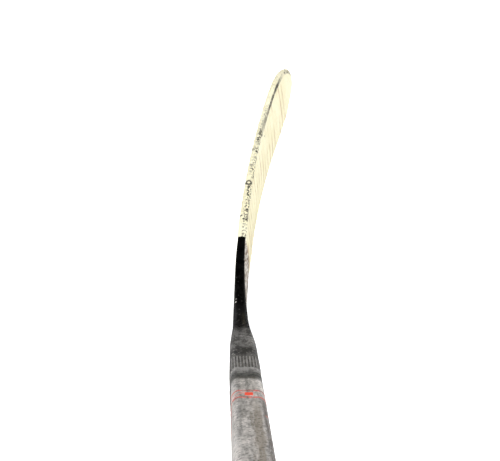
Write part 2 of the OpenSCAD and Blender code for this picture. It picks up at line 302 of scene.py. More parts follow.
# Thickness at the back, in the middle and at the front, and the corners' radius.
heel_sizes = (0.0062, 0.0092, 0.0064, 0.0018)
mid_sizes = (0.005, 0.0072, 0.0048, 0.0014)
toe_sizes = (0.0034, 0.004, 0.003, 0.0012)
shaft_sizes = (shaft_t, shaft_t, shaft_t, shaft_r)
swell_curve = ((0.0, 0.0), (0.1, 0.08), (0.3, 0.19), (0.54, 0.38), (0.77, 0.75), (0.9, 0.94), (1.0, 1.0))


def mix(a, b, share):
    return a + (b - a) * share


def clamp01(x):
    return min(1.0, max(0.0, x))


def smooth(x):
    x = clamp01(x)
    return x * x * (3 - 2 * x)


def blend_sizes(a, b, share):
    return tuple(mix(x, y, share) for x, y in zip(a, b))


top_slope = (toe_h - heel_h) / (toe_top_x - heel_top_x)
top_tilt = math.atan(top_slope)
top_dir = Vector((math.cos(top_tilt), math.sin(top_tilt)))
front_start = axis + front * shaft_w / 2
front_rise = (heel_h + top_slope * (front_start.x - heel_top_x) - front_start.y) / (up.y - top_slope * up.x)
fillet = (front_start + up * front_rise
          + (top_dir + up).normalized() * neck_r / math.sin(math.acos(top_dir.dot(up)) / 2))
fillet_from_x = fillet.x + neck_r * math.sin(top_tilt)
straight_at = (fillet - axis).dot(up)
back_start = axis - front * shaft_w / 2
heel_z = heel_r + sole_up
heel = Vector((back_start.x + (heel_r - (heel_z - back_start.y) * front.y) / front.x, heel_z))


def toe_round(x, start, grow, power):
    return max(0.0, 1 - clamp01((x - start) / (tip_x + grow - start)) ** power) ** (1 / power)


def top_line(x):
    if x < fillet_from_x:
        return fillet.y - math.sqrt(neck_r ** 2 - (x - fillet.x) ** 2)
    return heel_h + top_slope * (x - heel_top_x)


def top_z(x, grow):
    rise = top_line(min(x, toe_top_x)) + grow - toe_mid_z
    return toe_mid_z + rise * toe_round(x, toe_top_x, grow, top_roundness)


def sole_z(x, grow):
    return toe_mid_z - (toe_mid_z - sole_up + grow) * toe_round(x, toe_sole_x, grow, sole_roundness)


def angle_to(p):
    return math.atan((fillet.x - p.x) / (fillet.y - p.y))


heel_from = angle_to(Vector((heel.x, sole_up)))
heel_to = angle_to(heel - front * heel_r)


def back_reach(angle):
    """Distance from the fillet's centre to the sole, the heel's arc or the shaft's back face."""
    if angle < heel_from:
        return (fillet.y - sole_up) / math.cos(angle)
    if angle > heel_to:
        return (neck_r + shaft_w) / math.cos(math.pi / 2 - lie - angle)
    away = fillet - heel
    along = Vector((-math.sin(angle), -math.cos(angle))).dot(away)
    return -along + math.sqrt(max(0.0, along ** 2 - away.length_squared + heel_r ** 2))


def lean_at(x):
    return (mix(heel_lean, toe_lean, clamp01((x - lean_full_x) / (tip_x - lean_full_x)) ** 1.5)
            * smooth((x - lean_from_x) / (lean_full_x - lean_from_x)))


def bow(x):
    return curve_r - math.sqrt(curve_r ** 2 - max(0.0, x - curve_from_x) ** 2)


def middle_y(x, z):
    return shaft_y - bow(x) + lean_at(x) * (z - lean_mid_z)


def swell(run):
    share = clamp01(run / swell_run)
    for (a, low), (b, high) in zip(swell_curve, swell_curve[1:]):
        if share <= b:
            return mix(low, high, (share - a) / (b - a))


lead_run = split_x - fillet.x   # from the blade to the fillet's lowest point
fan_run = neck_r * (math.pi / 2 - lie)
swell_run = split_x - fillet_from_x + neck_r * (math.pi / 2 - lie - top_tilt) + full_at - straight_at


def rib_at(run, grow):
    """The stick's section at a distance from the blade's end of the neck, less than 0 along the blade:
    back point, front point, three thicknesses and the corner radius."""
    if run < lead_run:
        x = split_x - run
        back, fore = Vector((x, sole_z(x, grow))), Vector((x, top_z(x, grow)))
    elif run < lead_run + fan_run:
        angle = (run - lead_run) / neck_r
        ray = Vector((-math.sin(angle), -math.cos(angle)))
        back, fore = fillet + ray * (back_reach(angle) + grow), fillet + ray * (neck_r - grow)
    else:
        middle = axis + up * (run - lead_run - fan_run + straight_at)
        back, fore = middle - front * (shaft_w / 2 + grow), middle + front * (shaft_w / 2 + grow)
    if run < 0:
        x = split_x - run
        end_sizes, share = (heel_sizes, x / split_x) if x < 0 else (toe_sizes, x / tip_x)
        edge = toe_sizes[3] + grow
        left = clamp01((tip_x + grow - x) / edge)
        loss = 2 * edge * (1 - math.sqrt(1 - (1 - left) ** 2))
        sizes = blend_sizes(mid_sizes, end_sizes, share)
        sizes = (sizes[0] - loss, sizes[1] - loss, sizes[2] - loss, sizes[3])
    else:
        sizes = blend_sizes(heel_sizes, shaft_sizes, swell(run))
    return back, fore, [size + 2 * grow for size in sizes[:3]], max(0.0003, sizes[3] + grow)


def half_thick(rib, height, v):
    back, fore, thick, corner = rib
    u = 2 * v / height - 1
    edge = min(v, height - v)
    half = mix(thick[1], thick[2] if u > 0 else thick[0], abs(u) ** 1.6) / 2
    if edge < corner:
        half -= corner - math.sqrt(max(0.0, corner ** 2 - (corner - edge) ** 2))
    return max(0.00005, half)


zone_steps = (1, 5, 18, 5, 1)   # half the narrow back, a corner, the face, a corner, half the front
around = 2 * sum(zone_steps)


def outline(rib, step):
    """Step 0 is the middle of the back, and the steps go up the forehand side and down the other:
    offset from the middle, height, distance from the back's middle and the side's whole length."""
    height = (rib[1] - rib[0]).length
    corner = min(rib[3], height / 2.2)
    side = -1 if step <= around / 2 else 1
    left = step if side < 0 else around - step
    lengths = (half_thick(rib, height, 0), corner * math.pi / 2, height - 2 * corner,
               corner * math.pi / 2, half_thick(rib, height, height))
    distance = 0.0
    for zone, (steps, length) in enumerate(zip(zone_steps, lengths)):
        if left <= steps or zone == len(zone_steps) - 1:
            break
        left -= steps
        distance += length
    share = left / steps
    distance += share * length
    if zone == 0:
        out, v = share * length, 0.0
    elif zone == 4:
        out, v = (1 - share) * length, height
    else:
        arc = corner * (1 - math.cos((share if zone == 1 else 1 - share) * math.pi / 2))
        v = arc if zone == 1 else height - arc if zone == 3 else mix(corner, height - corner, share)
        out = half_thick(rib, height, v)
    return side * out, v, distance, sum(lengths)


def stick_point(run, step, grow):
    """A point on the stick's surface, grown by grow."""
    rib = rib_at(run, grow)
    out, v = outline(rib, step)[:2]
    place = rib[0] + (rib[1] - rib[0]).normalized() * v
    return Vector((place.x, middle_y(place.x, place.y) + out, place.y))


def rolled_sheet(columns, rows, place, charts=None):
    """A grid of columns by rows whose crossings go to place(column, row), with its seams joined.
    Charts are UV maps, given as name: function(column, row, column of the face's middle)."""
    work = bmesh.new()
    bmesh.ops.create_grid(work, x_segments=columns, y_segments=rows, size=0.5)
    where = {v: (round((v.co.x + 0.5) * columns), round((v.co.y + 0.5) * rows)) for v in work.verts}
    for name, chart in (charts or {}).items():
        layer = work.loops.layers.uv.new(name)
        for face in work.faces:
            middle = sum(where[v][0] for v in face.verts) / len(face.verts)
            for loop in face.loops:
                loop[layer].uv = chart(*where[loop.vert], middle)
    for v in work.verts:
        v.co = place(*where[v])
    bmesh.ops.remove_doubles(work, verts=work.verts, dist=1e-7)
    return work


crease = 0.7                    # the least angle of a sharp edge


def finish_piece(name, work, finish, slot, *replaced):
    """A new piece from a bmesh: closed, facing out, shaded smooth between its sharp edges."""
    bmesh.ops.holes_fill(work, edges=[e for e in work.edges if e.is_boundary], sides=0)
    bmesh.ops.recalc_face_normals(work, faces=work.faces)
    for face in work.faces:
        face.smooth = True
    for edge in work.edges:
        edge.smooth = len(edge.link_faces) == 2 and edge.calc_face_angle(0.0) < crease
    mesh = bpy.data.meshes.new(name)
    work.to_mesh(mesh)
    work.free()
    made = bpy.data.objects.new(name, mesh)
    mesh.materials.append(finish)
    scene.collection.objects.link(made)
    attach(made, "root")
    if replaced:
        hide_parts(*replaced)
    return made


straight_from = lead_run + fan_run
shoulder_run = straight_from + shoulder_at - straight_at
hollow_run = shoulder_run - 0.016
tenon_hollow_run = shoulder_run - 0.006
tenon_run = shoulder_run + tenon_len
lip = 0.0004
ring_step = 0.004
rings = round(shoulder_run / ring_step)
hollow_steps = 24
outer_rings = [((shoulder_run - lip) * k / rings, 0.0) for k in range(rings + 1)]
shoulder_rings = [(shoulder_run - lip * (1 - math.sin(a)), -lip * (1 - math.cos(a)))
                  for a in (math.pi / 6, math.pi / 3, math.pi / 2)]
tenon_rings = [(shoulder_run, -tenon_sink), (tenon_run, -tenon_sink), (tenon_run, -tenon_sink - neck_wall),
               (tenon_hollow_run, -tenon_sink - neck_wall)]
inner_rings = [(hollow_run * (1 - k / hollow_steps), -neck_wall) for k in range(hollow_steps + 1)]
neck_rings = outer_rings + shoulder_rings + tenon_rings + inner_rings
neck_rings.append(neck_rings[0])
work = rolled_sheet(around, len(neck_rings) - 1,
                    lambda c, r: stick_point(neck_rings[r][0], c, neck_rings[r][1]),
                    {"rib": lambda c, r, middle: (neck_rings[r][0], c / around)})

mottle, ins, outs = new_group("mottle", {"Vector": ("Vector", None), "Coarse": ("Float", 100.0),
                                         "Fine": ("Float", 900.0)}, {"Shade": ("Float", None)})
both = maths(mottle, "ADD", times(mottle, cloud(mottle, ins["Vector"], ins["Coarse"], 3.0), 0.6),
             times(mottle, cloud(mottle, ins["Vector"], ins["Fine"]), 0.4))
mottle.links.new(ramp(mottle, both, 0.4, 0.6), outs["Shade"])


def mottled(tree, vector, coarse, fine):
    """Uneven shade from 0 to 1, in two scales."""
    return use(tree, mottle, Vector=vector, Coarse=coarse, Fine=fine)["Shade"]


def mottled_finish(name, coarse, fine, dark, light, relief=None, gloss=None, at=object_place, **constants):
    """Two colours that run into each other; relief is a bump's strength and distance, and gloss is the
    roughness of the dark and of the light."""
    made, tree, shader = new_finish(name, **constants)
    shade = mottled(tree, at(tree), coarse, fine)
    wire(tree, shader, Base_Color=tint(tree, shade, paint(*dark), paint(*light)))
    if relief:
        wire(tree, shader, Normal=height_to_normal(tree, shade, *relief))
    if gloss:
        wire(tree, shader, Roughness=ramp(tree, shade, 0.0, 1.0, *gloss))
    return made


def blend(tree, first, second, share):
    """Two shades added, with this share of the second."""
    return scaled(tree, second, share, times(tree, first, 1 - share))


def graded(tree, value, stops):
    """A colour that runs through stops of (place from 0 to 1, colour)."""
    made = put(tree, "ValToRGB", {0: value})
    for k, (place, colour) in enumerate(stops):
        stop = made.color_ramp.elements[k] if k < 2 else made.color_ramp.elements.new(1.0)
        stop.position = place
        stop.color = colour
    return made.outputs[0]


scratch, ins, outs = new_group("scratch", {"Vector": ("Vector", None), "Scale": ("Float", 100.0),
                                           "Width": ("Float", 0.02), "Share": ("Float", 0.5)},
                               {"Mask": ("Float", None)})
edge = apart(scratch, cloud(scratch, ins["Vector"], ins["Scale"]), 0.5)
thin = maths(scratch, "SUBTRACT", 1.0, ramp(scratch, edge, 0.0, ins["Width"]))
patch = cloud(scratch, ins["Vector"], times(scratch, ins["Scale"], 0.6))
kept = maths(scratch, "LESS_THAN", patch, ins["Share"])
scratch.links.new(times(scratch, thin, kept), outs["Mask"])

speck, ins, outs = new_group("speck", {"Vector": ("Vector", None), "Scale": ("Float", 300.0),
                                       "Share": ("Float", 0.1)}, {"Mask": ("Float", None)})
grains = put(speck, "TexVoronoi", {"Vector": ins["Vector"], "Scale": ins["Scale"]}).outputs
lot = put(speck, "SeparateColor", {0: grains["Color"]}).outputs[0]
near = ramp(speck, grains["Distance"], 0.45, 0.15)
speck.links.new(times(speck, near, maths(speck, "LESS_THAN", lot, ins["Share"])), outs["Mask"])

mark, ins, outs = new_group("mark", {"Vector": ("Vector", None), "Centre": ("Vector", None),
                                     "Radius": ("Float", 0.002), "Ring": ("Float", 0.0),
                                     "Mask": ("Float", 0.0), "Weight": ("Float", 1.0)},
                            {"Mask": ("Float", None)})
rough_edge = cloud(mark, ins["Vector"], 900.0, 3.0)
off = put(mark, "VectorMath", {0: ins["Vector"], 1: ins["Centre"]}, operation="DISTANCE").outputs["Value"]
off = scaled(mark, rough_edge, ins["Radius"], apart(mark, off, ins["Ring"]))
spot = ramp(mark, maths(mark, "DIVIDE", off, ins["Radius"]), 1.5, 1.0)
mark.links.new(maths(mark, "MAXIMUM", ins["Mask"], times(mark, spot, ins["Weight"])), outs["Mask"])


def add_marks(tree, vector, places, mask=0.0):
    """Blotches at (place, radius, weight), and rings with their own radius after it, added to the mask."""
    for centre, radius, weight, *ring in places:
        mask = use(tree, mark, Vector=vector, Centre=Vector(centre).to_3d(), Radius=radius, Mask=mask,
                   Ring=sum(ring), Weight=weight)["Mask"]
    return mask


def shaft_place(tree):
    """Place in the shaft's own frame: towards the front face, sideways, and up the shaft from the ice."""
    turned = put(tree, "Mapping", {"Vector": object_place(tree), "Location": (axis.x, shaft_y, 0.0),
                                   "Rotation": (0.0, lie - math.pi / 2, 0.0)}, vector_type="TEXTURE")
    return turned.outputs[0]


def stretched(tree, vector, along):
    """The shaft's frame drawn out along the shaft, for streaks."""
    return put(tree, "Mapping", {"Vector": vector, "Scale": (1.0, 1.0, 1.0 / along)}).outputs[0]


lacquer, tree, shader = new_finish("worn_black_lacquer", Specular_IOR_Level=0.03)
place = shaft_place(tree)
along = parts(tree, place)["Z"]
shade = mottled(tree, place, 160.0, 650.0)
streaks = mottled(tree, stretched(tree, place, 8.0), 260.0, 700.0)
# Bands up the neck: where each is, and its greys in the dark and in the worn places.
bands = ((0.0, 0.001, 0.003), (0.082, 0.001, 0.004), (0.103, 0.001, 0.01), (0.114, 0.002, 0.036),
         (0.122, 0.024, 0.18), (0.133, 0.03, 0.16), (0.148, 0.065, 0.26), (0.16, 0.055, 0.2),
         (0.175, 0.06, 0.2), (0.183, 0.02, 0.085), (0.202, 0.025, 0.11), (0.207, 0.05, 0.14),
         (0.209, 0.19, 0.36), (0.24, 0.17, 0.33), (0.247, 0.11, 0.24), (0.252, 0.06, 0.15))
up_neck = maths(tree, "DIVIDE", along, bands[-1][0])
ends = [graded(tree, up_neck, [(band[0] / bands[-1][0], paint(band[k], band[k] * 0.97, band[k] * 0.93))
                               for band in bands]) for k in (1, 2)]
colour = tint(tree, ramp(tree, blend(tree, shade, streaks, 0.35), 0.2, 0.8), *ends)
wear = ramp(tree, along, 0.07, 0.15)
chips = use(tree, speck, Vector=place, Scale=420.0, Share=0.12)["Mask"]
chips = times(tree, chips, scaled(tree, wear, 0.6, 0.06))
neck_chips = (((0.0278, 0.0039, 0.0564), 0.001, 0.7), ((0.0258, 0.0043, 0.0597), 0.0011, 1.0),
              ((0.0146, -0.0052, 0.1208), 0.001, 0.4), ((0.015, -0.0043, 0.1614), 0.0012, 0.5),
              ((0.0137, 0.0083, 0.197), 0.0013, 0.9))
chips = add_marks(tree, place, neck_chips, chips)
colour = tint(tree, chips, colour, paint(0.52, 0.5, 0.46))
edge = parts(tree, put(tree, "UVMap", uv_map="rib").outputs[0])["Y"]
# Painted reflection: the forehand side face next to the blade is painted pale where its gloss would mirror
# the bright room, and brown dirt runs through it in streaks.
pale = times(tree, ramp(tree, edge, 24.8 / around, 23.4 / around),
             ramp(tree, edge, 5.0 / around, 14.0 / around),
             ramp(tree, scaled(tree, streaks, 0.02, along), 0.09, 0.04))
colour = tint(tree, pale, colour, tint(tree, streaks, paint(0.28, 0.22, 0.175), paint(0.88, 0.83, 0.76)))
hairlines = use(tree, scratch, Vector=stretched(tree, place, 5.0), Scale=300.0, Width=0.012,
                Share=0.45)["Mask"]
colour = tint(tree, times(tree, hairlines, scaled(tree, wear, 0.25, 0.03)), colour,
              paint(0.35, 0.34, 0.32))
dull = scaled(tree, shade, 0.1, scaled(tree, wear, 0.22, 0.16))
scored = maths(tree, "SUBTRACT", shade, times(tree, hairlines, 0.5))
wire(tree, shader, Base_Color=colour, Roughness=dull,
     Normal=height_to_normal(tree, scored, 0.12, 0.0003))
finish_piece("neck", work, lacquer, "neck_laminate", "neck_shell")

# The ticks: a printed band of short dark bars round the neck, laid out from the middle of each narrow face.
# Wear has thinned the print unevenly.
ticks, tree, shader = new_finish("tick_print", Roughness=0.5, Specular_IOR_Level=0.1)
shade = mottled(tree, stretched(tree, shaft_place(tree), 3.0), 400.0, 1500.0)
wire(tree, shader, Base_Color=tint(tree, shade, paint(0.035, 0.033, 0.03), paint(0.13, 0.122, 0.11)))
dress(ticks, "tick_marks")

# The joint: hot-melt glue holds the tenon in the shaft, and black epoxy fills the gap at the shoulder.
# The filler lies a little below the surface, and dirt has caught in it.
hot_melt = mottled_finish("hot_melt", 200.0, 700.0, (0.5, 0.4, 0.2), (0.62, 0.52, 0.3), Roughness=0.4)
dress(hot_melt, "tenon_glue")
epoxy = mottled_finish("joint_epoxy", 300.0, 1400.0, (0.03, 0.03, 0.028), (0.1, 0.1, 0.09), (0.4, 0.0003),
                       Roughness=0.6, Specular_IOR_Level=0.1)
dress(epoxy, "joint_filler")

# The shaft: a hollow carbon tube, wrapped, cured and lacquered silver grey. Use has mottled and scratched
# it, with a brown stain down the front face, a dark worn corner, a red smear and grime by the joint.
shaft_marks = (((0.015, 0.001, 0.279), 0.0016, 0.35), ((0.015, 0.003, 0.315), 0.0026, 0.4),
               ((0.015, 0.002, 0.322), 0.0024, 0.35), ((0.0135, -0.0085, 0.344), 0.002, 0.6),
               ((0.0146, -0.007, 0.387), 0.0022, 0.65), ((0.0148, 0.0064, 0.363), 0.0012, 0.3),
               ((0.0146, 0.0066, 0.398), 0.0024, 0.4))
silver, tree, shader = new_finish("worn_silver_lacquer", Specular_IOR_Level=0.15)
place = shaft_place(tree)
out, side, along = parts(tree, place)
shade = mottled(tree, place, 170.0, 650.0)
streaks = mottled(tree, stretched(tree, place, 7.0), 260.0, 620.0)
colour = tint(tree, blend(tree, shade, streaks, 0.5), paint(0.23, 0.22, 0.205), paint(0.66, 0.62, 0.585))
on_front = ramp(tree, out, 0.01, 0.0145)
stain = maths(tree, "ABSOLUTE", scaled(tree, streaks, 0.002, maths(tree, "ADD", side, 0.0022)))
stain = times(tree, ramp(tree, stain, 0.004, 0.0015), on_front,
              ramp(tree, along, tube_from + 0.04, tube_from + 0.08, 0.0, 0.7))
colour = tint(tree, stain, colour, paint(0.21, 0.175, 0.13))
spine = times(tree, ramp(tree, apart(tree, side, 0.0006), 0.0016, 0.0003),
              ramp(tree, along, 0.318, 0.3, 0.0, 0.75), on_front,
              ramp(tree, shade, 0.1, 0.9, 1.0, 0.4))
colour = tint(tree, spine, colour, paint(0.12, 0.12, 0.105))
dark = add_marks(tree, place, shaft_marks)
grime = use(tree, speck, Vector=place, Scale=420.0, Share=0.34)["Mask"]
corner = times(tree, ramp(tree, maths(tree, "ABSOLUTE", side), 0.0066, 0.0088),
               ramp(tree, maths(tree, "ABSOLUTE", out), 0.01, 0.0135))
grime = times(tree, grime, scaled(tree, corner, 0.35, 0.5))
pits = ramp(tree, cloud(tree, place, 620.0, 4.0), 0.53, 0.66, 0.0, 0.55)
seam_dirt = ramp(tree, scaled(tree, shade, 0.003, along), tube_from + 0.012,
                 tube_from + 0.0035)
for dirt in (grime, pits, seam_dirt):
    dark = maths(tree, "MAXIMUM", dark, dirt)
worn = times(tree, ramp(tree, side, -0.006, -0.008), ramp(tree, out, -0.008, 0.004),
             ramp(tree, along, 0.285, 0.325), ramp(tree, streaks, 0.1, 0.9, 1.0, 0.7))
colour = tint(tree, worn, colour, paint(0.075, 0.058, 0.046))
red_chip = add_marks(tree, place, (((0.0138, -0.0086, 0.337), 0.0014, 0.8),))
colour = tint(tree, red_chip, colour, paint(0.55, 0.12, 0.08))
smear = apart(tree, scaled(tree, side, -0.93, along), 0.2933)
smear = times(tree, ramp(tree, smear, 0.0019, 0.0006), ramp(tree, side, 0.0018, 0.0034),
              ramp(tree, shade, 0.0, 1.0, 0.9, 0.45))
colour = tint(tree, smear, colour, paint(0.86, 0.3, 0.25))
colour = tint(tree, dark, colour, paint(0.045, 0.042, 0.036))
across = put(tree, "Mapping", {"Vector": place, "Scale": (0.25, 0.25, 1.5)}).outputs[0]
cuts = use(tree, scratch, Vector=across, Scale=160.0, Width=0.01, Share=0.42)["Mask"]
rubs = use(tree, scratch, Vector=stretched(tree, place, 8.0), Scale=320.0, Width=0.02, Share=0.5)["Mask"]
colour = tint(tree, times(tree, cuts, 0.45), colour, paint(0.06, 0.06, 0.055))
colour = tint(tree, times(tree, rubs, 0.35), colour, paint(0.55, 0.54, 0.52))
wire(tree, shader, Base_Color=colour, Roughness=scaled(tree, shade, 0.2, 0.32),
     Normal=height_to_normal(tree, maths(tree, "SUBTRACT", shade, cuts), 0.15, 0.0003))
dress(silver, "shaft_tube")

# The pinstripes: two thin red lines round the shaft and a short bar between them on the front face,
# printed under the lacquer. Rubbing has faded the lines to pink and left the bar bright.
red, tree, shader = new_finish("red_print", Roughness=0.4, Specular_IOR_Level=0.1)
place = shaft_place(tree)
shade = mottled(tree, place, 330.0, 1300.0)
film = 0.00012
stripe_at = sum(shaft_span("pinstripe_rings", shaft_w / 2 + film)) / 2
between = ramp(tree, apart(tree, parts(tree, place)["Z"], stripe_at), 0.0045, 0.0036)
faded = tint(tree, shade, paint(0.86, 0.22, 0.18), paint(0.84, 0.42, 0.37))
wire(tree, shader, Base_Color=tint(tree, between, faded, paint(0.95, 0.08, 0.035)),
     Alpha=maths(tree, "MAXIMUM", between, ramp(tree, shade, 0.0, 1.0, 0.72, 0.2)))
dress(red, "pinstripe_rings")

# The end plug: black moulded nylon, a flange as wide as the shaft with a shallow dish in it, and a hollow
# stem with crush ribs that is pressed into the bore.
flange_t = 0.003
flange_edge = 0.0005
dish_rim = 0.0028
dish_depth = 0.0007
plug_len = 0.042
plug_wall = 0.0018
shaft_wall = 0.0019
plug_gap = 0.00035
crush_rib = Vector((0.001, 0.0006, 0.036))
crush_pitch = 0.005
crush_edge = 0.0002
tube_to = shaft_span("shaft_tube", shaft_w / 2)[1]
in_shaft = Matrix.Translation((axis.x, shaft_y, 0)) @ Matrix.Rotation(lie - math.pi / 2, 4, "Y")


def push_face(work, face, distance):
    """The face moved along its normal, with walls back to where it was."""
    way = face.normal * distance
    made = bmesh.ops.extrude_face_region(work, geom=[face])["geom"]
    bmesh.ops.delete(work, geom=[face], context="FACES_ONLY")
    bmesh.ops.translate(work, verts=[v for v in made if isinstance(v, bmesh.types.BMVert)], vec=way)
    return next(f for f in made if isinstance(f, bmesh.types.BMFace))


def inset_face(work, face, width):
    bmesh.ops.inset_region(work, faces=[face], thickness=width, use_even_offset=True)
    return face


work = bmesh.new()
flange = bmesh.ops.create_grid(work, x_segments=1, y_segments=1, size=0.5)["verts"]
bmesh.ops.scale(work, vec=(shaft_w, shaft_t, 1.0), verts=flange)
bmesh.ops.bevel(work, geom=flange, offset=shaft_r, segments=10, profile=0.5, affect="VERTICES", material=-1)
bottom = work.faces[:][0]
top = bmesh.ops.extrude_face_region(work, geom=[bottom], use_keep_orig=True)["geom"]
bmesh.ops.translate(work, verts=[v for v in top if isinstance(v, bmesh.types.BMVert)], vec=(0, 0, flange_t))
bmesh.ops.recalc_face_normals(work, faces=work.faces)
top = max(work.faces, key=lambda f: f.calc_center_median().z)
bottom = min(work.faces, key=lambda f: f.calc_center_median().z)
rim = list(top.edges)
inset_face(work, top, dish_rim)
inset_face(work, top, dish_depth)
bmesh.ops.translate(work, verts=top.verts, vec=(0, 0, -dish_depth))
inset_face(work, bottom, shaft_wall + plug_gap)
stem = push_face(work, bottom, plug_len)
inset_face(work, stem, plug_wall)
push_face(work, stem, -plug_len)
bmesh.ops.bevel(work, geom=rim, offset=flange_edge, segments=3, profile=0.5, affect="EDGES", material=-1)
for side in (-1, 1):
    for k in (-1, 0, 1):
        made = bmesh.ops.create_cube(work, size=1.0)["verts"]
        bmesh.ops.scale(work, vec=crush_rib, verts=made)
        stem_y = side * (shaft_t / 2 - shaft_wall - plug_gap)
        bmesh.ops.translate(work, verts=made, vec=(k * crush_pitch, stem_y, -plug_len / 2))
        tips = {e for v in made for e in v.link_edges if abs(e.verts[0].co.z - e.verts[1].co.z) < 1e-6}
        bmesh.ops.bevel(work, geom=list(tips), offset=crush_edge, segments=2, profile=0.5,
                        affect="EDGES", material=-1)
bmesh.ops.transform(work, matrix=in_shaft @ Matrix.Translation((0, 0, tube_to)), verts=work.verts)

nylon = mottled_finish("moulded_nylon", 500.0, 2600.0, (0.018, 0.018, 0.019), (0.035, 0.035, 0.036),
                       (0.3, 0.0002), (0.42, 0.6))
finish_piece("end_plug", work, nylon, "plug_plastic", "butt_plug")

# The grip: a roll of cloth tape makes the knob, and black friction tape is wound over it and 165 mm down
# the shaft in half-overlapped turns, from the low end to the butt, with the last turn pressed over the end.
band_h = 0.0009
grip_low = shaft_span("grip_end_band", shaft_w / 2 + band_h)[0]
knob_h = 0.0045
knob_low = shaft_span("knob_core", shaft_w / 2 + knob_h)[0]
grip_tape_w = 0.024
grip_pitch = 0.0115
cloth_t = 0.0003
tuck = 0.0008
turn_points = 64

cloth, ins, outs = new_group("cloth_weave", {"Vector": ("Vector", None), "Thread": ("Float", 0.0005)},
                             {"Height": ("Float", None), "Shade": ("Float", None)})
run, across, _ = parts(cloth, put(cloth, "VectorMath", {0: ins["Vector"], "Scale": math.pi},
                                  operation="SCALE").outputs[0])
ridges = [maths(cloth, "SINE", maths(cloth, "DIVIDE", value, ins["Thread"])) for value in (run, across)]
warp, weft = [maths(cloth, "ABSOLUTE", ridge) for ridge in ridges]
over = maths(cloth, "GREATER_THAN", times(cloth, *ridges), 0.0)
cloth.links.new(put(cloth, "Mix", {0: over, 2: warp, 3: weft}).outputs[0], outs["Height"])
drawn = put(cloth, "Mapping", {"Vector": ins["Vector"], "Scale": (60, 1400, 1)}).outputs[0]
cloth.links.new(cloud(cloth, drawn, 1.0, 3.0), outs["Shade"])


def wound_tape(columns, across, surface, thickness, charts):
    """A closed strip of tape: across lists the places over its width, and surface(column, place, lift) is a
    point on its underside lifted by lift. Its UV maps are charts, name: function(column, place, middle)."""
    section = [(w, 0.0) for w in across] + [(w, thickness) for w in reversed(across)]
    section.append(section[0])

    def chart(measure):
        return lambda column, row, middle: measure(column, section[row][0], middle)

    return rolled_sheet(columns, len(section) - 1, lambda c, r: surface(c, *section[r]),
                        {name: chart(measure) for name, measure in charts.items()})


edge_ease = 0.0012              # over how far a turn sinks at the edge of one below it


def layers_below(place, starts, width):
    """How many earlier turns lie under a place on the tape, eased where their far edges end."""
    return sum(smooth((start + width - place) / edge_ease + 0.5) for start in starts)


def spread(width, steps):
    """Places over a tape's width, close together at its edges and at the edges of the turns below."""
    return sorted({round(w, 6) for w in steps + [width * k / 8 for k in range(9)]})


grip_path = [Vector(point) for point in (
    (grip_low, 0.0), (knob_low - 0.0015, 0.0), (knob_low + 0.001, knob_h), (tube_to - 0.0006, knob_h),
    (tube_to + 0.0001, knob_h - 0.0007), (tube_to + 0.0001, tuck))]
grip_path_len = sum((b - a).length for a, b in zip(grip_path, grip_path[1:]))


def along_grip(distance, lift):
    """Up the grip, over the knob and over its end: distance up the shaft and height above it."""
    for a, b in zip(grip_path, grip_path[1:]):
        length = (b - a).length
        if distance <= length or b is grip_path[-1]:
            way = (b - a) / length
            return a + way * distance + Vector((-way.y, way.x)) * lift
        distance -= length


grip_turns = (grip_path_len - grip_tape_w) / grip_pitch + 2
tape_gap = 0.00003
shaft_girth = 2 * (shaft_w + shaft_t) * 0.9


def turn_start(turn, turns, pitch):
    """How far along a tape's low edge is; the first and last turns go straight round."""
    return pitch * min(max(turn - 1, 0.0), turns - 2)


def turn_point(column, up_shaft, grow):
    """A point round the shaft at a column of a tape, this far up the shaft."""
    step = column % turn_points * around / turn_points
    return stick_point(straight_from + up_shaft - straight_at, step, grow)


def grip_surface(column, place, lift):
    turn = column / turn_points
    below = [turn_start(turn - k, grip_turns, grip_pitch) for k in (1, 2) if turn >= k]
    where = turn_start(turn, grip_turns, grip_pitch) + place
    lift += cloth_t * layers_below(where, below, grip_tape_w) + tape_gap
    return turn_point(column, *along_grip(where, lift))


def grip_chart(column, place, middle):
    return column / turn_points * shaft_girth, place


grip_cloth, tree, shader = new_finish("black_friction_tape", Roughness=0.85, Sheen_Weight=0.25,
                                      Sheen_Roughness=0.5)
strip_uv = put(tree, "UVMap", uv_map="strip").outputs[0]
weave = use(tree, cloth, Vector=strip_uv, Thread=0.0006)
shade = mottled(tree, object_place(tree), 120.0, 900.0)
lint = times(tree, ramp(tree, parts(tree, strip_uv)["Y"], 0.001, 0.0001), times(tree, shade, 0.5))
colour = tint(tree, blend(tree, shade, weave["Shade"], 0.5), paint(0.012, 0.012, 0.013),
              paint(0.045, 0.044, 0.046))
wire(tree, shader, Base_Color=tint(tree, lint, colour, paint(0.16, 0.155, 0.15)),
     Normal=height_to_normal(tree, weave["Height"], 0.6, 0.0003))
work = wound_tape(round(grip_turns * turn_points),
                  spread(grip_tape_w, [0.0004, 0.011, 0.0118, 0.0126, 0.0134]),
                  grip_surface, cloth_t, {"strip": grip_chart})
grip = finish_piece("grip_tape", work, grip_cloth, "grip_cloth", "grip_wrap")

knob_cloth = mottled_finish("white_knob_tape", 200.0, 1600.0, (0.68, 0.67, 0.62), (0.8, 0.79, 0.75),
                            (0.4, 0.0003), Roughness=0.85)
dress(knob_cloth, "knob_core")

# The end band: three turns of grey stretch tape that seal the grip's low end to the shaft. It was pulled
# tight, so it is puckered across its width.
band_w = 0.018
band_from = grip_low - 0.003
band_turns = 3
band_film_t = 0.00012


def band_surface(column, place, lift):
    turn = column / turn_points
    up_shaft = band_from + place + 0.0003 * math.sin(turn * 2.1)
    cloth_under = cloth_t * 2.3 * smooth((up_shaft - grip_low) / 0.002 + 0.5)
    pucker = 0.00006 * noise.noise(Vector((place * 900, column * 0.35, 3.0)))
    return turn_point(column, up_shaft, cloth_under + turn * band_film_t + lift + 0.0001 + pucker)


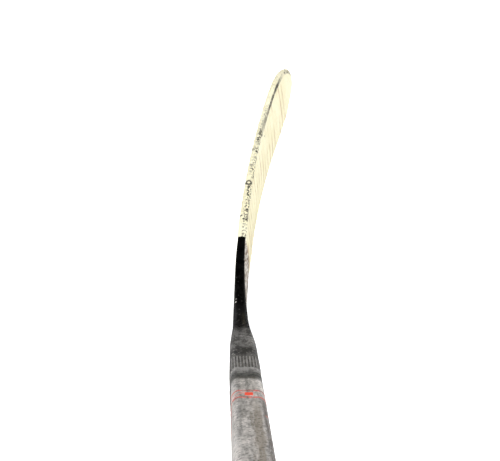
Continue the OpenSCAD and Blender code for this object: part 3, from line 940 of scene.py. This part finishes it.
film_band = mottled_finish("grey_stretch_tape", 250.0, 1500.0, (0.1, 0.1, 0.105), (0.16, 0.16, 0.165),
                           (0.2, 0.0003), (0.26, 0.42), shaft_place)
work = wound_tape(band_turns * turn_points, spread(band_w, [0.0003, band_w - 0.0003]), band_surface,
                  band_film_t, {"strip": grip_chart})
finish_piece("end_band", work, film_band, "band_film", "grip_end_band")

# The blade's tape: one 24 mm strip of cream cloth tape, wound from the heel to the toe in turns that
# overlap by half and lean a little. Ice, pucks and boards have left dirt on the turns' edges, along the
# forehand corner near the toe, and in blotches on the top edge.
tape_w = 0.024
tape_pitch = 0.0112
tape_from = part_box("blade_tape")[0].x + 0.0018
wrap_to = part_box("blade_tape")[1].x + 0.003
tape_cloth_t = 0.00028
mean_girth = 0.135
turns = (wrap_to - tape_from - tape_w) / tape_pitch + 2


def tape_start(turn):
    """Where the tape's heel edge is, along the blade."""
    return tape_from + turn_start(turn, turns, tape_pitch)


@functools.lru_cache(maxsize=None)
def round_blade(x, step):
    """Distance from the sole's middle to a step, and the whole way to the top's middle."""
    return outline(rib_at(split_x - x, 0.0), step)[2:]


def arc_share(x, step):
    """How far round the blade a step is, as a share of one turn."""
    distance, whole = round_blade(x, step)
    return distance / whole / 2 if step <= around / 2 else 1 - distance / whole / 2


@functools.lru_cache(maxsize=None)
def tape_turn(column):
    """Turns made at a column, by true distance round the blade."""
    whole_turns, step = divmod(column, around)
    return whole_turns + arc_share(tape_start(whole_turns + 0.5), step)


def tape_surface(column, place, lift):
    turn = tape_turn(column)
    below = [tape_start(turn - k) for k in (1, 2, 3) if turn >= k]
    fray = 0.0003 * noise.noise(Vector((column * 0.9, 0.0, place * 50))) * smooth(1 - place / 0.002)
    x = tape_start(turn) + place + fray
    ripple = 0.00009 * noise.noise(Vector((x * 260, column * 0.21, 7.0)))
    step = column % around
    pressed = mix(0.55, 1.0, smooth(min(step, around - step) / 8))
    lift = pressed * (lift + tape_cloth_t * layers_below(x, below, tape_w) + ripple) + tape_gap
    return stick_point(split_x - x, step, lift)


def strip_chart(column, place, middle):
    """Distance along the strip and across it."""
    return tape_turn(column) * mean_girth, place


def drop_from_top(x, step, middle):
    """Distance down from the top edge's middle, less than 0 on the backhand."""
    distance, whole = round_blade(x, step)
    return (whole - distance) * (1 if middle % around < around / 2 else -1)


def blade_chart(column, place, middle):
    """Place along the blade and drop from the top edge's middle."""
    x = tape_start(tape_turn(column)) + place
    return x, drop_from_top(x, column - math.floor(middle / around) * around, middle)


corner_drop = 0.0022            # how far below the top edge's middle the forehand corner is
# The dirty line down the forehand face: places along the blade, and its drop from the top edge's middle.
dirt_line = ((0.038, 0.0042), (0.06, 0.005), (0.1, 0.0062), (0.118, 0.0054), (0.132, 0.0044))
# Each place is a distance along the blade and a drop from the top edge's middle.
blotches = (((0.039, 0.0032), 0.0016, 0.75, 0.002), ((0.031, 0.0004), 0.0013, 0.6),
            ((0.025, 0.003), 0.0014, 0.6), ((0.014, 0.0022), 0.0019, 1.0),
            ((0.016, -0.0012), 0.0022, 0.55), ((0.006, 0.0026), 0.0024, 0.55),
            ((-0.004, 0.0), 0.0022, 0.65), ((-0.012, 0.0001), 0.0017, 0.5),
            ((-0.019, 0.0026), 0.0015, 0.5), ((-0.026, 0.0002), 0.0011, 0.95, 0.0022),
            ((-0.032, 0.0008), 0.0014, 0.95), ((-0.041, 0.002), 0.0014, 0.5),
            ((-0.049, 0.0028), 0.0014, 0.6), ((-0.058, 0.002), 0.0018, 0.6),
            ((-0.0655, -0.0022), 0.0014, 1.0), ((-0.0695, 0.0002), 0.0014, 1.0),
            ((-0.066, 0.0024), 0.0007, 0.7, 0.0018), ((0.047, 0.0145), 0.0012, 0.9),
            ((-0.0315, -0.0036), 0.0009, 0.8), ((-0.0745, 0.0008), 0.001, 0.6),
            ((-0.0785, 0.0006), 0.0011, 0.8), ((-0.0825, 0.0006), 0.0011, 0.7),
            ((-0.0862, 0.0005), 0.001, 0.8))


def taped_cloth(name, spots):
    """Cream cloth tape with its weave, the dirt on its edges and these blotches."""
    made, tree, shader = new_finish(name, Roughness=0.8, Specular_IOR_Level=0.15, Sheen_Weight=0.04)
    strip_uv = put(tree, "UVMap", uv_map="strip").outputs[0]
    blade_uv = put(tree, "UVMap", uv_map="blade").outputs[0]
    place = object_place(tree)
    weave = use(tree, cloth, Vector=strip_uv, Thread=0.0005)
    shade = mottled(tree, place, 45.0, 420.0)
    colour = tint(tree, blend(tree, shade, weave["Shade"], 0.4), paint(0.8, 0.745, 0.51),
                  paint(0.91, 0.875, 0.67))
    edge = parts(tree, strip_uv)["Y"]
    x, drop, _ = parts(tree, blade_uv)
    shrunk = put(tree, "Mapping", {"Vector": place, "Scale": (40, 40, 30)}).outputs[0]
    wandering = cloud(tree, shrunk, 1.0, 4.0)
    soiled = times(tree, ramp(tree, edge, 0.0042, 0.0004), ramp(tree, wandering, 0.42, 0.62),
                   ramp(tree, maths(tree, "ABSOLUTE", drop), 0.0045, 0.012, 0.12, 0.65))
    colour = tint(tree, soiled, colour, paint(0.52, 0.34, 0.19))
    line_from, line_to = dirt_line[0][0], dirt_line[-1][0]
    along = put(tree, "MapRange", {"Value": x, "From Min": line_from, "From Max": line_to}).outputs[0]
    scale = 100.0                   # a ramp's colour holds a drop in these parts of a metre
    depth = graded(tree, along, [((where - line_from) / (line_to - line_from),
                                  paint(deep * scale, deep * scale, deep * scale))
                                 for where, deep in dirt_line])
    gap = apart(tree, drop, maths(tree, "DIVIDE", depth, scale))
    gap = scaled(tree, wandering, -0.0016, maths(tree, "ADD", gap, 0.0008))
    grains = cloud(tree, place, 540.0, 4.0)
    line = times(tree, ramp(tree, gap, 0.0038, 0.0016), ramp(tree, grains, 0.34, 0.48, 0.5, 1.0),
                 ramp(tree, x, 0.025, 0.075), ramp(tree, wandering, 0.36, 0.47, 0.3, 1.0),
                 ramp(tree, x, 0.112, 0.126, 1.0, 0.55))
    from_corner = apart(tree, drop, corner_drop)
    rubbed = times(tree, ramp(tree, from_corner, 0.003, 0.0008),
                   ramp(tree, apart(tree, x, 0.046), 0.015, 0.036, 0.6, 0.0),
                   ramp(tree, grains, 0.36, 0.56, 0.35, 1.0))
    colour = tint(tree, rubbed, colour, paint(0.3, 0.29, 0.235))
    patches = cloud(tree, place, 75.0)
    scuffs = times(tree, ramp(tree, grains, 0.495, 0.52), ramp(tree, patches, 0.38, 0.56, 0.25, 1.0),
                   ramp(tree, x, 0.045, 0.07, 1.0, 0.22),
                   ramp(tree, from_corner, 0.0012, 0.0042, 1.0, 0.04))
    dark = maths(tree, "MAXIMUM", add_marks(tree, blade_uv, spots, line), scuffs)
    wire(tree, shader, Base_Color=tint(tree, times(tree, dark, 0.97), colour, paint(0.035, 0.03, 0.025)),
         Normal=height_to_normal(tree, weave["Height"], 0.35, 0.00025))
    return made


work = wound_tape(round(turns * around),
                  spread(tape_w, [0.0004, 0.001, 0.0018, 0.012, 0.0128, 0.0136]),
                  tape_surface, tape_cloth_t, {"strip": strip_chart, "blade": blade_chart})
blade_cloth = taped_cloth("cream_cloth_tape", blotches)
wrap = finish_piece("blade_wrap", work, blade_cloth, "blade_cloth", "blade_tape")

# The toe's tape: a strip of the same cloth folded over the end of the blade and pressed down on both faces,
# over the last turn of the wrap. Its pleats run out to the rim, and its folds are black with dirt.
cap_from = 0.1215
cap_len = 0.13
cap_steps = 26
pleats = 9
pleat_h = 0.00022
wave_h = 0.0007
cap_marks = (((0.14, 0.004), 0.0022, 0.9), ((0.1485, 0.005), 0.002, 0.8),
             ((0.144, 0.002), 0.0016, 0.7), ((0.124, 0.007), 0.0012, 0.6),
             ((0.131, 0.003), 0.0012, 0.7))


def cap_point(share, step, lift):
    """A point on the cap, by its share of the way from the cap's heel edge to the tip."""
    end = tip_x + lift
    x = mix(cap_from, end, math.sin(math.pi / 2 * share))
    under = tape_cloth_t * 2.2 * smooth((wrap_to - x) / 0.006 + 0.5) + tape_gap
    rim = smooth((x - cap_from) / 0.02) * smooth((tip_x - x) / 0.004)
    fold = pleat_h * rim * math.sin(2 * math.pi * pleats * step / around)
    wave = wave_h * math.sin(step * 0.37) * (1 - smooth((x - cap_from) / 0.004))
    return stick_point(split_x - (x + wave), step, under + lift + fold)


def cap_strip_chart(column, row, middle):
    return column / around * cap_len, math.sin(math.pi / 2 * cap_section[row][0]) * (tip_x - cap_from)


def cap_blade_chart(column, row, middle):
    x = mix(cap_from, tip_x - 0.0002, math.sin(math.pi / 2 * cap_section[row][0]))
    return x, drop_from_top(x, column, middle)


cap_shares = [k / cap_steps for k in range(cap_steps + 1)]
cap_section = ([(share, tape_cloth_t) for share in reversed(cap_shares)]
               + [(share, 0.0) for share in cap_shares])
work = rolled_sheet(around, len(cap_section) - 1,
                    lambda c, r: cap_point(cap_section[r][0], c, cap_section[r][1]),
                    {"strip": cap_strip_chart, "blade": cap_blade_chart})
cap_cloth = taped_cloth("cream_toe_tape", cap_marks)
cap = finish_piece("toe_cap", work, cap_cloth, "blade_cloth", "toe_tape")
